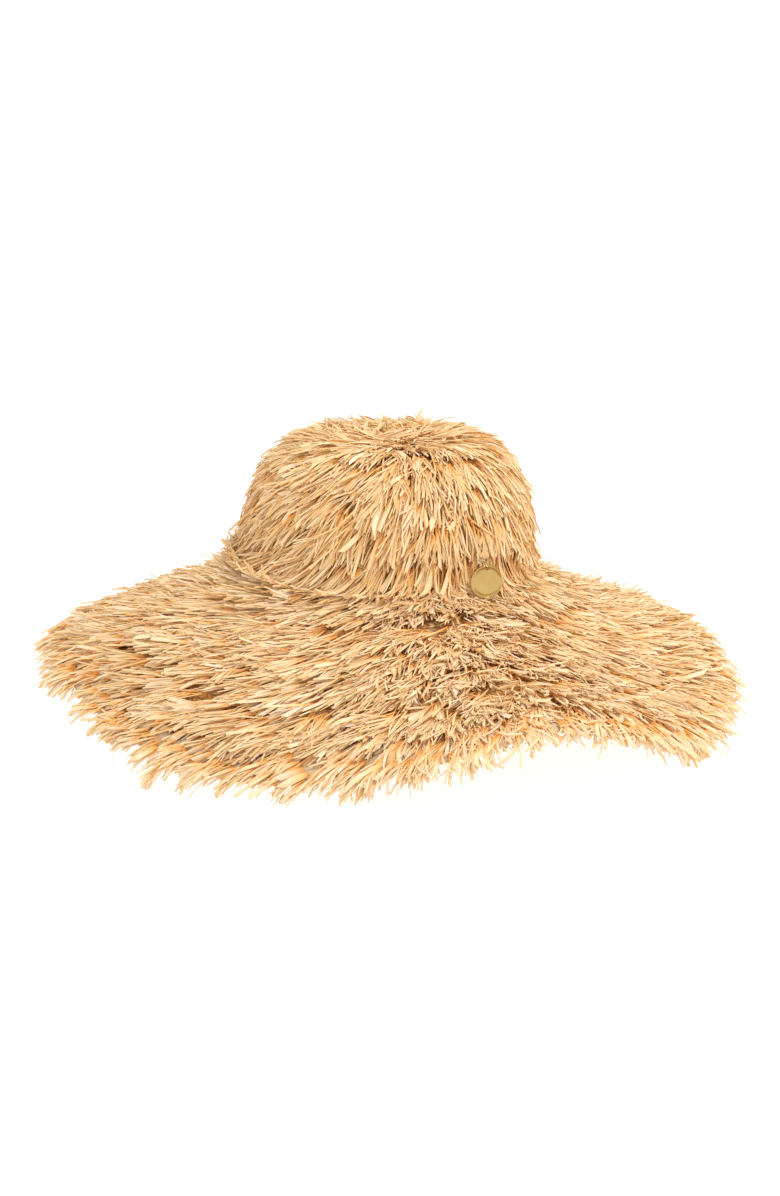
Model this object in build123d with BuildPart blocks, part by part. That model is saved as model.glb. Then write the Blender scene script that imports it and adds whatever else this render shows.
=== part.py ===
"""Shaggy raffia sun hat: a woven crown and a wide wavy brim, covered in rows of sewn-on raffia fringe.

Millimetres, +Z up. The hat lies on its brim on the ground plane z = 0, with the crown's axis on the Z axis.
The wearer's face looks along -Y, and a small round metal tag hangs on the front of the crown.
Each fringe row is a closed ring that fills the space of its loose raffia strands.
"""
import os
from math import cos, hypot, pi, radians, sin

from build123d import *

os.makedirs("parts", exist_ok=True)

# Head opening and sweatband
head_radius = 89.0
sweatband_thickness = 0.9
sweatband_height = 28.0
lining_clearance = 0.2

# Woven raffia panels
straw_thickness = 2.2
crown_side_height = 36.0
crown_shoulder_height = 57.0
crown_shoulder_reach = 40.0
crown_tip_dome = 3.0

# Brim: the height of its outer edge goes up and down around the hat, and it bows down at +X and up at -X
brim_height = 98.0
brim_radius = 250.0
brim_bow = -0.05
brim_bow_swing = 0.35
edge_heights = {-113: 0.0, -60: 36.0, -30: 0.0, 30: 32.0, 90: 0.0, 150: 31.0, 185: 41.0, 247: 0.0}
section_step = 15

# Hem: a flat springy wire in a folded tape around the edge of the brim panel
panel_margin = 18.0
edge_wire_width = 1.6
edge_wire_height = 1.2
binding_width = 12.0
binding_thickness = 0.8
binding_clearance = 0.2

# Raffia fringe
fringe_clearance = 0.2
fringe_thickness = 4.0
row_clearance = 0.5
row_overlap = 1.6
crown_row_count = 7
crown_first_row = 14.0
brim_row_count = 6
brim_first_row = 14.0
edge_row_seam = 6.0
edge_row_hang = 4.0

# Tag, its ring and the stitch that holds the ring
tag_azimuth = -54.0
tag_turn = -20.0
tag_side_swing = 30.0
stitch_above_band = 4.0
tag_radius = 11.5
tag_thickness = 1.2
tag_rim_width = 1.2
tag_rim_rise = 0.35
tag_hole_radius = 1.2
tag_hole_inset = 2.6
ring_radius = 3.4
ring_wire_radius = 0.5
thread_radius = 0.5
stitch_width = 6.0
running_clearance = 0.3
stitch_hole_clearance = 0.4

# Sizes that follow from those above
crown_inner_radius = head_radius + sweatband_thickness + lining_clearance
crown_radius = crown_inner_radius + straw_thickness
crown_tip_radius = crown_radius - crown_shoulder_reach
shoulder_start = brim_height + crown_side_height
crown_top = shoulder_start + crown_shoulder_height
panel_radius = brim_radius - panel_margin
edge_row_length = panel_margin + binding_width + edge_row_seam
brim_row_span = brim_radius - edge_row_length - crown_radius - brim_first_row
brim_row_pitch = brim_row_span / (brim_row_count - 1)
brim_row_length = row_overlap * brim_row_pitch
brim_row_rise = (fringe_thickness + row_clearance) / brim_row_pitch
edge_row_depth = fringe_clearance + fringe_thickness + brim_row_rise * edge_row_length


def finish(piece, name):
    """Name a finished piece and write it."""
    piece.label = name
    export_step(piece, f"parts/{name}.step")


def edge_height(azimuth):
    """Height of the brim's lowest fringe tips, swinging smoothly from one low or high point to the next."""
    turns = sorted(edge_heights)
    azimuth = (azimuth - turns[0]) % 360 + turns[0]
    after = next(turn for turn in turns if turn > azimuth)
    before = turns[turns.index(after) - 1]
    share = (1 - cos(pi * (azimuth - before) / (after - before))) / 2
    return edge_heights[before] * (1 - share) + edge_heights[after] * share


def brim_surface(radius, azimuth):
    """Height and downward slope of the brim panel's upper face."""
    share = (radius - crown_radius) / (brim_radius - crown_radius)
    fall = brim_height - edge_row_hang - edge_height(azimuth)
    bow = brim_bow + brim_bow_swing * cos(radians(azimuth))
    height = brim_height - fall * (share + bow * share * (1 - share))
    slope = fall / (brim_radius - crown_radius) * (1 + bow * (1 - 2 * share))
    return height, slope


def brim_point(radius, azimuth, lift):
    """Point (radius, height) that stands lift off the brim panel's upper face, square to it."""
    height, slope = brim_surface(radius, azimuth)
    return radius + lift * slope / hypot(slope, 1), height + lift / hypot(slope, 1)


def point_above_brim(radius, azimuth, rise):
    """Point (radius, height) that stands straight above the brim panel's upper face."""
    return radius, brim_surface(radius, azimuth)[0] + rise


def meridian(azimuth):
    """Upright plane from the crown's axis outwards: its x is the radius and its y is the height."""
    outward = Vector(cos(radians(azimuth)), sin(radians(azimuth)), 0)
    return Plane(origin=(0, 0, 0), x_dir=outward, z_dir=outward.cross(Vector(0, 0, 1)))


def wavy_ring(section_at):
    """Loft the sketches that section_at(azimuth) gives around the brim, in two half turns."""
    for start in (0, 180):
        loft([section_at(azimuth) for azimuth in range(start, start + 180 + section_step, section_step)])


# The crown's outer face, from the centre of its top down to the brim
with BuildLine(Plane.XZ) as crown_outline:
    Line((0, crown_top + crown_tip_dome), (crown_tip_radius, crown_top))
    EllipticalCenterArc(
        (crown_tip_radius, shoulder_start),
        crown_shoulder_reach,
        crown_shoulder_height,
        start_angle=90,
        arc_size=-90,
    )
    Line((crown_radius, shoulder_start), (crown_radius, brim_height))
crown_path = crown_outline.wires()[0]
crown_path_length = crown_path.length
crown_row_span = crown_path_length - crown_first_row
crown_row_pitch = crown_row_span / (crown_row_count - 1 + row_overlap)
crown_row_length = row_overlap * crown_row_pitch
crown_row_rise = (fringe_thickness + row_clearance) / crown_row_pitch


def crown_point(distance, lift):
    """Point (radius, height) that stands lift off the crown, at this distance along its outline."""
    foot = crown_path.position_at(distance / crown_path_length)
    along = crown_path.tangent_at(distance / crown_path_length)
    return foot.X - lift * along.Z, foot.Z + lift * along.X


# Hem of the brim
wire_place = panel_radius + binding_clearance + edge_wire_width / 2
binding_inside = wire_place + edge_wire_width / 2 + binding_clearance


def edge_wire_section(azimuth):
    """Flat springy wire that runs just outside the brim panel's edge."""
    with BuildSketch(meridian(azimuth)) as section:
        with Locations(point_above_brim(wire_place, azimuth, -straw_thickness / 2)):
            Rectangle(edge_wire_width, edge_wire_height)
    return section.sketch


def edge_binding_section(azimuth):
    """Tape folded over the panel's edge and the wire: its section is a C that opens towards the crown."""
    top = binding_clearance + binding_thickness
    bottom = -straw_thickness - top
    start = panel_radius - binding_width
    corners = [
        (start, top),
        (binding_inside + binding_thickness, top),
        (binding_inside + binding_thickness, bottom),
        (start, bottom),
        (start, bottom + binding_thickness),
        (binding_inside, bottom + binding_thickness),
        (binding_inside, binding_clearance),
        (start, binding_clearance),
    ]
    with BuildSketch(meridian(azimuth)) as section:
        with BuildLine():
            Polyline(*[point_above_brim(radius, azimuth, rise) for radius, rise in corners], close=True)
        make_face()
    return section.sketch


# Stitch, ring and tag: the ring hangs from the stitch's bar, and the tag hangs in the ring. Both are turned
# from facing straight outwards, and the edge that leans towards the crown clears it when the tag swings
tag_outward = Vector(cos(radians(tag_azimuth)), sin(radians(tag_azimuth)), 0)
tag_sideways = Vector(0, 0, 1).cross(tag_outward)
tag_facing = Vector(cos(radians(tag_azimuth + tag_turn)), sin(radians(tag_azimuth + tag_turn)), 0)
fringe_reach = fringe_clearance + crown_row_rise * crown_row_length + fringe_thickness
tag_side_reach = tag_radius + (tag_radius - tag_hole_inset) * sin(radians(tag_side_swing))
tag_lean = tag_side_reach * sin(radians(abs(tag_turn))) + tag_thickness / 2 + tag_rim_rise
hang_radius = crown_radius + fringe_reach + running_clearance + max(tag_lean, ring_radius + ring_wire_radius)
bar_height = brim_height - straw_thickness + sweatband_height + stitch_above_band
ring_height = bar_height - ring_radius + ring_wire_radius + thread_radius + running_clearance
hole_height = ring_height - ring_radius
tag_centre_height = hole_height - tag_radius + tag_hole_inset
knot_radius = crown_inner_radius - lining_clearance - thread_radius


def stitch_plane(radius, height):
    """Plane at the tag's azimuth that faces away from the crown, with y up."""
    return Plane(
        origin=tag_outward * radius + Vector(0, 0, height), x_dir=tag_sideways, z_dir=tag_outward
    )


def tag_plane(height):
    """Plane of the tag's middle, with y up."""
    return Plane(
        origin=tag_outward * hang_radius + Vector(0, 0, height),
        x_dir=Vector(0, 0, 1).cross(tag_facing),
        z_dir=tag_facing,
    )


def bar_plane(radius):
    """Plane through the stitch that faces sideways around the crown, at this radius."""
    return Plane(
        origin=tag_outward * radius + Vector(0, 0, bar_height), x_dir=tag_outward, z_dir=tag_sideways
    )


def cut_stitch_holes():
    """Part the straw around the two legs of the stitch."""
    with BuildSketch(stitch_plane(knot_radius, bar_height)) as holes:
        with GridLocations(stitch_width, 1, 2, 1):
            Circle(thread_radius + stitch_hole_clearance)
    extrude(holes.sketch, amount=hang_radius - knot_radius, mode=Mode.SUBTRACT)


with BuildPart() as tag_thread:
    with BuildSketch(stitch_plane(knot_radius, bar_height)):
        with GridLocations(stitch_width, 1, 2, 1):
            Circle(thread_radius)
    extrude(amount=hang_radius - knot_radius)
    for radius in (knot_radius, hang_radius):
        with BuildSketch(bar_plane(radius)):
            Circle(thread_radius)
        extrude(amount=stitch_width / 2 + thread_radius, both=True)
finish(tag_thread.part, "tag_thread")

with BuildPart() as tag_ring:
    with BuildSketch(tag_plane(ring_height)):
        with Locations((0, -ring_radius)):
            Circle(ring_wire_radius)
    revolve(axis=Axis(tag_plane(ring_height).origin, tag_plane(ring_height).x_dir))
finish(tag_ring.part, "tag_ring")

with BuildPart() as tag_disc:
    with BuildSketch(tag_plane(tag_centre_height)):
        Circle(tag_radius)
    extrude(amount=tag_thickness / 2, both=True)
    with BuildSketch(tag_plane(tag_centre_height)):
        Circle(tag_radius)
        Circle(tag_radius - tag_rim_width, mode=Mode.SUBTRACT)
    extrude(amount=tag_thickness / 2 + tag_rim_rise, both=True)
    with BuildSketch(tag_plane(hole_height)):
        Circle(tag_hole_radius)
    extrude(amount=tag_thickness, both=True, mode=Mode.SUBTRACT)
finish(tag_disc.part, "tag_disc")

# Woven crown panels
with BuildPart() as crown_tip_panel:
    with BuildSketch(Plane.XZ):
        with BuildLine():
            Polyline(
                (0, crown_top + crown_tip_dome),
                (crown_tip_radius, crown_top),
                (crown_tip_radius, crown_top - straw_thickness),
                (0, crown_top + crown_tip_dome - straw_thickness),
                close=True,
            )
        make_face()
    revolve(axis=Axis.Z)
finish(crown_tip_panel.part, "crown_tip_panel")

with BuildPart() as crown_side_panel:
    with BuildSketch(Plane.XZ):
        with BuildLine():
            Line((crown_radius, brim_height), (crown_radius, shoulder_start))
            EllipticalCenterArc(
                (crown_tip_radius, shoulder_start), crown_shoulder_reach, crown_shoulder_height
            )
            Line((crown_tip_radius, crown_top), (crown_tip_radius, crown_top - straw_thickness))
            EllipticalCenterArc(
                (crown_tip_radius, shoulder_start),
                crown_shoulder_reach - straw_thickness,
                crown_shoulder_height - straw_thickness,
            )
            Line((crown_inner_radius, shoulder_start), (crown_inner_radius, brim_height))
            Line((crown_inner_radius, brim_height), (crown_radius, brim_height))
        make_face()
    revolve(axis=Axis.Z)
    cut_stitch_holes()
finish(crown_side_panel.part, "crown_side_panel")

with BuildPart() as sweatband:
    with BuildSketch(Plane.XY.offset(brim_height - straw_thickness)):
        Circle(head_radius + sweatband_thickness)
        Circle(head_radius, mode=Mode.SUBTRACT)
    extrude(amount=sweatband_height)
finish(sweatband.part, "sweatband")

# Fringe rows of the crown, from the top down: each is sewn on along its upper edge and lies over the next
for row in range(crown_row_count):
    rows_below = crown_row_count - 1 - row
    tip = crown_path_length - rows_below * crown_row_pitch
    stops = [tip - crown_row_length * (1 - step / 4) for step in range(5)]
    rises = [fringe_clearance + crown_row_rise * crown_row_length * step / 4 for step in range(5)]
    under = [crown_point(stop, rise) for stop, rise in zip(stops, rises)]
    over = [crown_point(stop, rise + fringe_thickness) for stop, rise in zip(stops, rises)]
    with BuildPart() as crown_row:
        with BuildSketch(Plane.XZ):
            with BuildLine():
                Polyline(*under, *reversed(over), close=True)
            make_face()
        revolve(axis=Axis.Z)
        cut_stitch_holes()
    finish(crown_row.part, f"crown_fringe_row_{row + 1}")


def brim_panel_section(azimuth):
    """Brim panel: level under the crown's edge, then falling to the hem."""
    stops = [crown_radius + (panel_radius - crown_radius) * step / 4 for step in range(5)]
    upper = [point_above_brim(radius, azimuth, 0) for radius in stops]
    lower = [point_above_brim(radius, azimuth, -straw_thickness) for radius in stops]
    with BuildSketch(meridian(azimuth)) as section:
        with BuildLine():
            Line((crown_inner_radius, brim_height), upper[0])
            Spline(*upper)
            Line(upper[-1], lower[-1])
            Spline(*lower)
            Line(lower[0], (crown_inner_radius, brim_height - straw_thickness))
            Line((crown_inner_radius, brim_height - straw_thickness), (crown_inner_radius, brim_height))
        make_face()
    return section.sketch


def brim_row_section(azimuth, start):
    """Brim fringe row: sewn on at start, and rising away from the panel over the next row."""
    stops = [start + brim_row_length * step / 2 for step in range(3)]
    rises = [fringe_clearance + brim_row_rise * (stop - start) for stop in stops]
    under = [brim_point(stop, azimuth, rise) for stop, rise in zip(stops, rises)]
    over = [brim_point(stop, azimuth, rise + fringe_thickness) for stop, rise in zip(stops, rises)]
    with BuildSketch(meridian(azimuth)) as section:
        with BuildLine():
            Spline(*under)
            Line(under[-1], over[-1])
            Spline(*over)
            Line(over[0], under[0])
        make_face()
    return section.sketch


def edge_row_section(azimuth, start):
    """Outermost fringe row: it lies on the binding and hangs down past the hem."""
    cover = fringe_clearance + binding_clearance + binding_thickness + fringe_clearance
    with BuildSketch(meridian(azimuth)) as section:
        with BuildLine():
            Polyline(
                brim_point(start, azimuth, fringe_clearance),
                brim_point(panel_radius - binding_width - binding_clearance, azimuth, cover),
                brim_point(binding_inside + binding_thickness + binding_clearance, azimuth, cover),
                point_above_brim(brim_radius, azimuth, -edge_row_hang),
                point_above_brim(brim_radius, azimuth, edge_row_depth),
                brim_point(start, azimuth, fringe_clearance + fringe_thickness),
                close=True,
            )
        make_face()
    return section.sketch


with BuildPart() as brim_panel:
    wavy_ring(brim_panel_section)
finish(brim_panel.part, "brim_panel")

with BuildPart() as brim_edge_wire:
    wavy_ring(edge_wire_section)
finish(brim_edge_wire.part, "brim_edge_wire")

with BuildPart() as brim_edge_binding:
    wavy_ring(edge_binding_section)
finish(brim_edge_binding.part, "brim_edge_binding")

for row in range(brim_row_count):
    row_start = crown_radius + brim_first_row + brim_row_pitch * row
    row_section = edge_row_section if row == brim_row_count - 1 else brim_row_section
    with BuildPart() as brim_row:
        wavy_ring(lambda azimuth: row_section(azimuth, row_start))
    finish(brim_row.part, f"brim_fringe_row_{row + 1}")
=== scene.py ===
"""Looks of the shaggy raffia sun hat, in metres, in the CAD frame.

Each CAD fringe row is a solid ring. Here it becomes a dense row of separate raffia strands, which grow
from the row's sewn edge, lie along the crown and the brim in the direction they were combed, and end in
blunt cut tips. The woven panels under them get their plaits, the hem its tape, the inside its ribbon, and
the tag, its ring and its stitch their metal and thread.
"""
import math

import bpy
import numpy as np
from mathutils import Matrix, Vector
from mathutils.bvhtree import BVHTree


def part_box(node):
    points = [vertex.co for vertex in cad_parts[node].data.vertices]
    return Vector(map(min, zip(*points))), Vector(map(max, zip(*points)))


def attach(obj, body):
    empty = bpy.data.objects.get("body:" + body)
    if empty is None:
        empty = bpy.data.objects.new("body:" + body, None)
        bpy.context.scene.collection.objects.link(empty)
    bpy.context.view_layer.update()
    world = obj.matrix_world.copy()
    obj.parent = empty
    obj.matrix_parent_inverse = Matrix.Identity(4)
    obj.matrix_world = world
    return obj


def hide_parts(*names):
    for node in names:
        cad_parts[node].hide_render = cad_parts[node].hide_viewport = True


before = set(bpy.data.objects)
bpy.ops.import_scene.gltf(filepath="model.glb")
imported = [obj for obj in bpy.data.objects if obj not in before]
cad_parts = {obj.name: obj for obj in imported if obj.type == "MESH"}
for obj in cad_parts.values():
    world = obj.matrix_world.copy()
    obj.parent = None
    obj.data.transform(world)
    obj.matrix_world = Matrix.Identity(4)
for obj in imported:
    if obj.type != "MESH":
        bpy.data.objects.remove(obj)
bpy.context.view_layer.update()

MM = 0.001
FULL_TURN = 2 * math.pi
HAT, RING, TAG = "hat", "ring", "tag"

# Places read from the frame
crown_low, crown_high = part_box("crown_side_panel")
panel_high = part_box("brim_panel")[1]
band_low, band_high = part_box("sweatband")
CROWN_RADIUS = crown_high.x
BRIM_HEIGHT = crown_low.z
PANEL_RADIUS = panel_high.x


# ---------------- the surface that the strands lie on

AZIMUTH_COUNT = 240
GRID_STEP = 2 * MM
SHOULDER_CENTRE = 36 * MM      # above the brim, where the rays that find the crown's outline meet
BEYOND_EDGE = 70 * MM          # how far past the panel the brim's slope is carried on
BLEND_REACH = 45 * MM          # how far the crown's foot is rounded into the brim
BLEND_SIGMA = 10 * MM
BLEND_FADE = 1.5               # how fast that rounding fades out at the end of its reach
KERNEL_SIGMAS = 3
OUTLINE_RAYS = 400
LOWEST_RAY = -25               # elevation in degrees
FOOT_SHARE = 0.9               # a ray below level counts only past this share of the crown's radius
EDGE_MARGIN = 0.5 * MM         # the brim's heights are read up to here inside its edge
SLOPE_STEPS = 5                # grid steps over which the slope at the brim's edge is measured


def tree_of(*nodes):
    """Ray-casting tree of some CAD nodes."""
    places, faces = [], []
    for node in nodes:
        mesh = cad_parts[node].data
        start = len(places)
        places += [vertex.co.copy() for vertex in mesh.vertices]
        faces += [[start + i for i in polygon.vertices] for polygon in mesh.polygons]
    return BVHTree.FromPolygons(places, faces)


def crown_outline():
    """(radius, height) along the crown's outer face, from the middle of its top down to the brim."""
    tree = tree_of("crown_tip_panel", "crown_side_panel")
    middle = Vector((0, 0, BRIM_HEIGHT + SHOULDER_CENTRE))
    points = []
    for angle in np.radians(np.linspace(90, LOWEST_RAY, OUTLINE_RAYS)):
        outward = Vector((math.cos(angle), 0, math.sin(angle)))
        hit = tree.ray_cast(middle + outward, -outward)[0]
        least_radius = FOOT_SHARE * CROWN_RADIUS if angle < 0 else 0
        if hit and hit.x > least_radius:
            points.append((hit.x, hit.z))
    points = np.array(points + [(CROWN_RADIUS, BRIM_HEIGHT)])
    along = np.concatenate(([0], np.cumsum(np.hypot(*np.diff(points, axis=0).T))))
    count = int(along[-1] / GRID_STEP)
    stops = np.arange(1, count + 1) * along[-1] / count
    return np.interp(stops, along, points[:, 0]), np.interp(stops, along, points[:, 1])


def brim_heights(azimuths, radii):
    """Heights of the brim panel's upper face over azimuths and radii."""
    tree = tree_of("brim_panel")
    heights = np.empty((len(azimuths), len(radii)))
    for i, azimuth in enumerate(azimuths):
        for j, radius in enumerate(radii):
            over = Vector((radius * math.cos(azimuth), radius * math.sin(azimuth), 1))
            heights[i, j] = tree.ray_cast(over, Vector((0, 0, -1)))[0].z
    return heights


def smooth_foot(values, at, sigma, reach):
    """Round off a kink in values along their last axis, around index at."""
    half = KERNEL_SIGMAS * sigma
    steps = np.arange(-half, half + 1)
    kernel = np.exp(-0.5 * (steps / sigma) ** 2)
    kernel /= kernel.sum()
    padded = np.pad(values, ((0, 0), (half, half)), mode="edge")
    smooth = sum(k * padded[:, i:i + values.shape[1]] for i, k in enumerate(kernel))
    far = np.abs(np.arange(values.shape[1]) - at) / reach
    weight = np.clip(BLEND_FADE * (1 - far), 0, 1)
    return values * (1 - weight) + smooth * weight


def ring_xy(radius, azimuths):
    """x and y, over (azimuth, stop), of points at some radii."""
    return radius * np.cos(azimuths)[:, None], radius * np.sin(azimuths)[:, None]


AZIMUTHS = np.arange(AZIMUTH_COUNT) * FULL_TURN / AZIMUTH_COUNT
outline_radius, outline_height = crown_outline()
CROWN_STEPS = len(outline_radius)
CROWN_LENGTH = CROWN_STEPS * GRID_STEP
brim_radii = np.arange(CROWN_RADIUS + GRID_STEP, PANEL_RADIUS - EDGE_MARGIN, GRID_STEP)
panel_heights = brim_heights(AZIMUTHS, brim_radii)
past = np.arange(1, int(BEYOND_EDGE / GRID_STEP) + 1)
edge_fall = (panel_heights[:, -1] - panel_heights[:, -1 - SLOPE_STEPS]) / SLOPE_STEPS
past_heights = panel_heights[:, -1:] + edge_fall[:, None] * past
grid_radius = np.concatenate((outline_radius, brim_radii, brim_radii[-1] + past * GRID_STEP))
grid_height = np.concatenate(
    (np.repeat(outline_height[None], AZIMUTH_COUNT, axis=0), panel_heights, past_heights), axis=1
)
grid_radius = np.repeat(grid_radius[None], AZIMUTH_COUNT, axis=0)
foot_sigma = int(BLEND_SIGMA / GRID_STEP)
foot_reach = BLEND_REACH / GRID_STEP
comb_radius = smooth_foot(grid_radius, CROWN_STEPS, foot_sigma, foot_reach)
comb_height = smooth_foot(grid_height, CROWN_STEPS, foot_sigma, foot_reach)
PLACES = np.stack((*ring_xy(comb_radius, AZIMUTHS), comb_height), axis=-1)
per_turn = (np.roll(PLACES, -1, axis=0) - np.roll(PLACES, 1, axis=0)) / (2 * FULL_TURN / AZIMUTH_COUNT)
per_metre = np.gradient(PLACES, GRID_STEP, axis=1)
NORMALS = np.cross(per_metre, per_turn)
NORMALS /= np.linalg.norm(NORMALS, axis=-1, keepdims=True)
STRETCH = np.stack((np.linalg.norm(per_metre, axis=-1), np.linalg.norm(per_turn, axis=-1)), axis=-1)


def sample(grid, azimuth, distance):
    """Value of a grid at some azimuths and distances from the middle of the crown's top."""
    turn = (azimuth / FULL_TURN * AZIMUTH_COUNT) % AZIMUTH_COUNT
    along = np.clip(distance / GRID_STEP - 1, 0, grid.shape[1] - 1.001)
    i, j = turn.astype(int), along.astype(int)
    u, v = (turn - i)[:, None], (along - j)[:, None]
    i, k = i % AZIMUTH_COUNT, (i + 1) % AZIMUTH_COUNT
    near = grid[i, j] * (1 - v) + grid[i, j + 1] * v
    far = grid[k, j] * (1 - v) + grid[k, j + 1] * v
    return near * (1 - u) + far * u


# ---------------- meshes

def mesh_object(name, places, polygons, uv_maps=(), smooth=False):
    """Object of vertices (n, 3) and a list of index arrays (m, corners), with UVs by vertex or by corner."""
    mesh = bpy.data.meshes.new(name)
    loops = np.concatenate([p.ravel() for p in polygons]).astype(np.int32)
    totals = np.concatenate([np.full(len(p), p.shape[1]) for p in polygons]).astype(np.int32)
    starts = np.concatenate(([0], np.cumsum(totals)[:-1])).astype(np.int32)
    mesh.vertices.add(len(places))
    mesh.vertices.foreach_set("co", places.astype(np.float32).ravel())
    mesh.loops.add(len(loops))
    mesh.loops.foreach_set("vertex_index", loops)
    mesh.polygons.add(len(totals))
    mesh.polygons.foreach_set("loop_start", starts)
    mesh.polygons.foreach_set("loop_total", totals)
    mesh.update(calc_edges=True)
    mesh.polygons.foreach_set("use_smooth", np.full(len(totals), smooth))
    for uv_name, uv in uv_maps:
        layer = mesh.uv_layers.new(name=uv_name)
        corner_uv = uv if len(uv) == len(loops) else uv[loops]
        layer.data.foreach_set("uv", corner_uv.astype(np.float32).ravel())
    obj = bpy.data.objects.new(name, mesh)
    bpy.context.scene.collection.objects.link(obj)
    return obj


def declare(obj, material, body, slot, *nodes):
    """Give a piece its material and its body, and hide the CAD nodes that it replaces; the slot is not used.
    """
    obj.data.materials.append(material)
    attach(obj, body)
    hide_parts(*nodes)
    return obj


def grid_quads(rows, columns, closed_rows=False, closed_columns=False):
    """Quads between the points of a grid numbered row by row."""
    i = np.arange(rows if closed_rows else rows - 1)[:, None]
    j = np.arange(columns if closed_columns else columns - 1)[None, :]
    below, beside = (i + 1) % rows, (j + 1) % columns
    return np.stack(
        (i * columns + j, i * columns + beside, below * columns + beside, below * columns + j), axis=-1
    ).reshape(-1, 4)


# ---------------- materials

def new_material(name):
    """Node material and its shader."""
    material = bpy.data.materials.new(name)
    material.use_nodes = True
    return material, material.node_tree.nodes["Principled BSDF"]


def add_node(material, kind, **settings):
    """New node of some kind, with its settings."""
    node = material.node_tree.nodes.new(kind)
    for name, value in settings.items():
        setattr(node, name, value)
    return node


def link(material, source, target):
    """Lead a node's output into another's input."""
    material.node_tree.links.new(source, target)


def ramp_node(material, source, stops):
    """Colour of a ramp with (position, (r, g, b)) stops."""
    node = add_node(material, "ShaderNodeValToRGB")
    elements = node.color_ramp.elements
    while len(elements) < len(stops):
        elements.new(0.5)
    for element, (position, colour) in zip(elements, stops):
        element.position = position
        element.color = (*colour, 1)
    link(material, source, node.inputs["Fac"])
    return node.outputs["Color"]


MIX_FIRST, MIX_SECOND, MIX_RESULT = 6, 7, 2    # a Mix node's colour sockets, whose names aren't unique


def multiply(material, first, second):
    """First colour times the second."""
    node = add_node(material, "ShaderNodeMix", data_type="RGBA", blend_type="MULTIPLY")
    node.inputs["Factor"].default_value = 1.0
    link(material, first, node.inputs[MIX_FIRST])
    link(material, second, node.inputs[MIX_SECOND])
    return node.outputs[MIX_RESULT]


def math_node(material, operation, first, second=None):
    """Result of a math node whose inputs are sockets or numbers."""
    node = add_node(material, "ShaderNodeMath", operation=operation)
    for socket, value in zip(node.inputs, (first, second)):
        if isinstance(value, (int, float)):
            socket.default_value = value
        elif value is not None:
            link(material, value, socket)
    return node.outputs[0]


def noise_node(material, vector, scale, detail=2.0, roughness=0.5, kind="3D"):
    """Value of a noise texture."""
    node = add_node(material, "ShaderNodeTexNoise", noise_dimensions=kind)
    node.inputs["Scale"].default_value = scale
    node.inputs["Detail"].default_value = detail
    node.inputs["Roughness"].default_value = roughness
    link(material, vector, node.inputs["Vector"])
    return node.outputs["Fac"]


def stretch_node(material, vector, scale):
    """Vector scaled along each axis."""
    node = add_node(material, "ShaderNodeMapping")
    node.inputs["Scale"].default_value = scale
    link(material, vector, node.inputs["Vector"])
    return node.outputs["Vector"]


def bump(material, shader, height, strength, distance):
    """Let a height bend the shader's normal."""
    node = add_node(material, "ShaderNodeBump")
    node.inputs["Strength"].default_value = strength
    node.inputs["Distance"].default_value = distance
    link(material, height, node.inputs["Height"])
    link(material, node.outputs["Normal"], shader.inputs["Normal"])


def uv_of(material, name):
    """A UV map's place."""
    node = add_node(material, "ShaderNodeUVMap", uv_map=name)
    return node.outputs["UV"]


def split(material, vector):
    """The three parts of a vector."""
    node = add_node(material, "ShaderNodeSeparateXYZ")
    link(material, vector, node.inputs[0])
    return node.outputs["X"], node.outputs["Y"], node.outputs["Z"]


def object_place(material):
    """Place in the object's own axes, in metres."""
    return add_node(material, "ShaderNodeTexCoord").outputs["Object"]


# The palette runs from deep orange-brown to pale straw: strands take their own tones around its middle, and
# its low end mostly carries the painted shade on their edges and under faces.
RAFFIA_PALETTE = (
    (0.00, (0.72, 0.35, 0.06)),
    (0.25, (0.84, 0.58, 0.28)),
    (0.50, (0.90, 0.70, 0.42)),
    (0.75, (0.92, 0.75, 0.53)),
    (1.00, (0.92, 0.79, 0.64)),
)
# painted shade: a strand is darker and more orange at its root, where the row above shades it, and reaches its
# plain colour about two thirds of the way up
ROOT_SHADE_TO_TIP = (
    (0.00, (0.88, 0.42, 0.05)),
    (0.30, (0.98, 0.82, 0.58)),
    (0.65, (1.00, 1.00, 1.00)),
    (1.00, (0.99, 0.96, 0.90)),
)
STREAK_TONES = ((0.3, (0.90, 0.77, 0.58)), (0.6, (1.0, 1.0, 1.0)))
STREAK_STRETCH = (40, 2.5, 1)  # narrow across a strand, long along it


def raffia_material():
    """Dry raffia: the palette runs across the UV map, and a strand's root-to-tip tone, painted shade at the
    root, runs up it.
    """
    material, shader = new_material("raffia")
    uv = uv_of(material, "OFBake")
    column, along, _ = split(material, uv)
    tone = ramp_node(material, column, RAFFIA_PALETTE)
    streaks = noise_node(material, stretch_node(material, uv, STREAK_STRETCH), 1.0, kind="2D")
    colour = multiply(material, tone, ramp_node(material, streaks, STREAK_TONES))
    colour = multiply(material, colour, ramp_node(material, along, ROOT_SHADE_TO_TIP))
    link(material, colour, shader.inputs["Base Color"])
    bump(material, shader, streaks, strength=0.35, distance=0.3 * MM)
    shader.inputs["Roughness"].default_value = 0.5
    shader.inputs["Specular IOR Level"].default_value = 0.2
    return material


PLAIT_WIDTH = 7.2 * MM
PLAIT_STITCH = 4.6 * MM        # from one blade of a plait to the next
PLAIT_SLANT = 1.5              # stitches that a blade runs along, for one plait's width across
NUMBER_STEP = 17.3             # keeps the blades of neighbouring plaits from having the same number
# straw tones that differ at random from blade to blade, set darker and more orange than the strands as painted
# shade for the gaps where the plaits show
PLAIT_STRAW_AND_SHADE_TONES = ((0.0, (0.66, 0.30, 0.07)), (0.5, (0.78, 0.44, 0.15)), (1.0, (0.86, 0.58, 0.28)))
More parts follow.
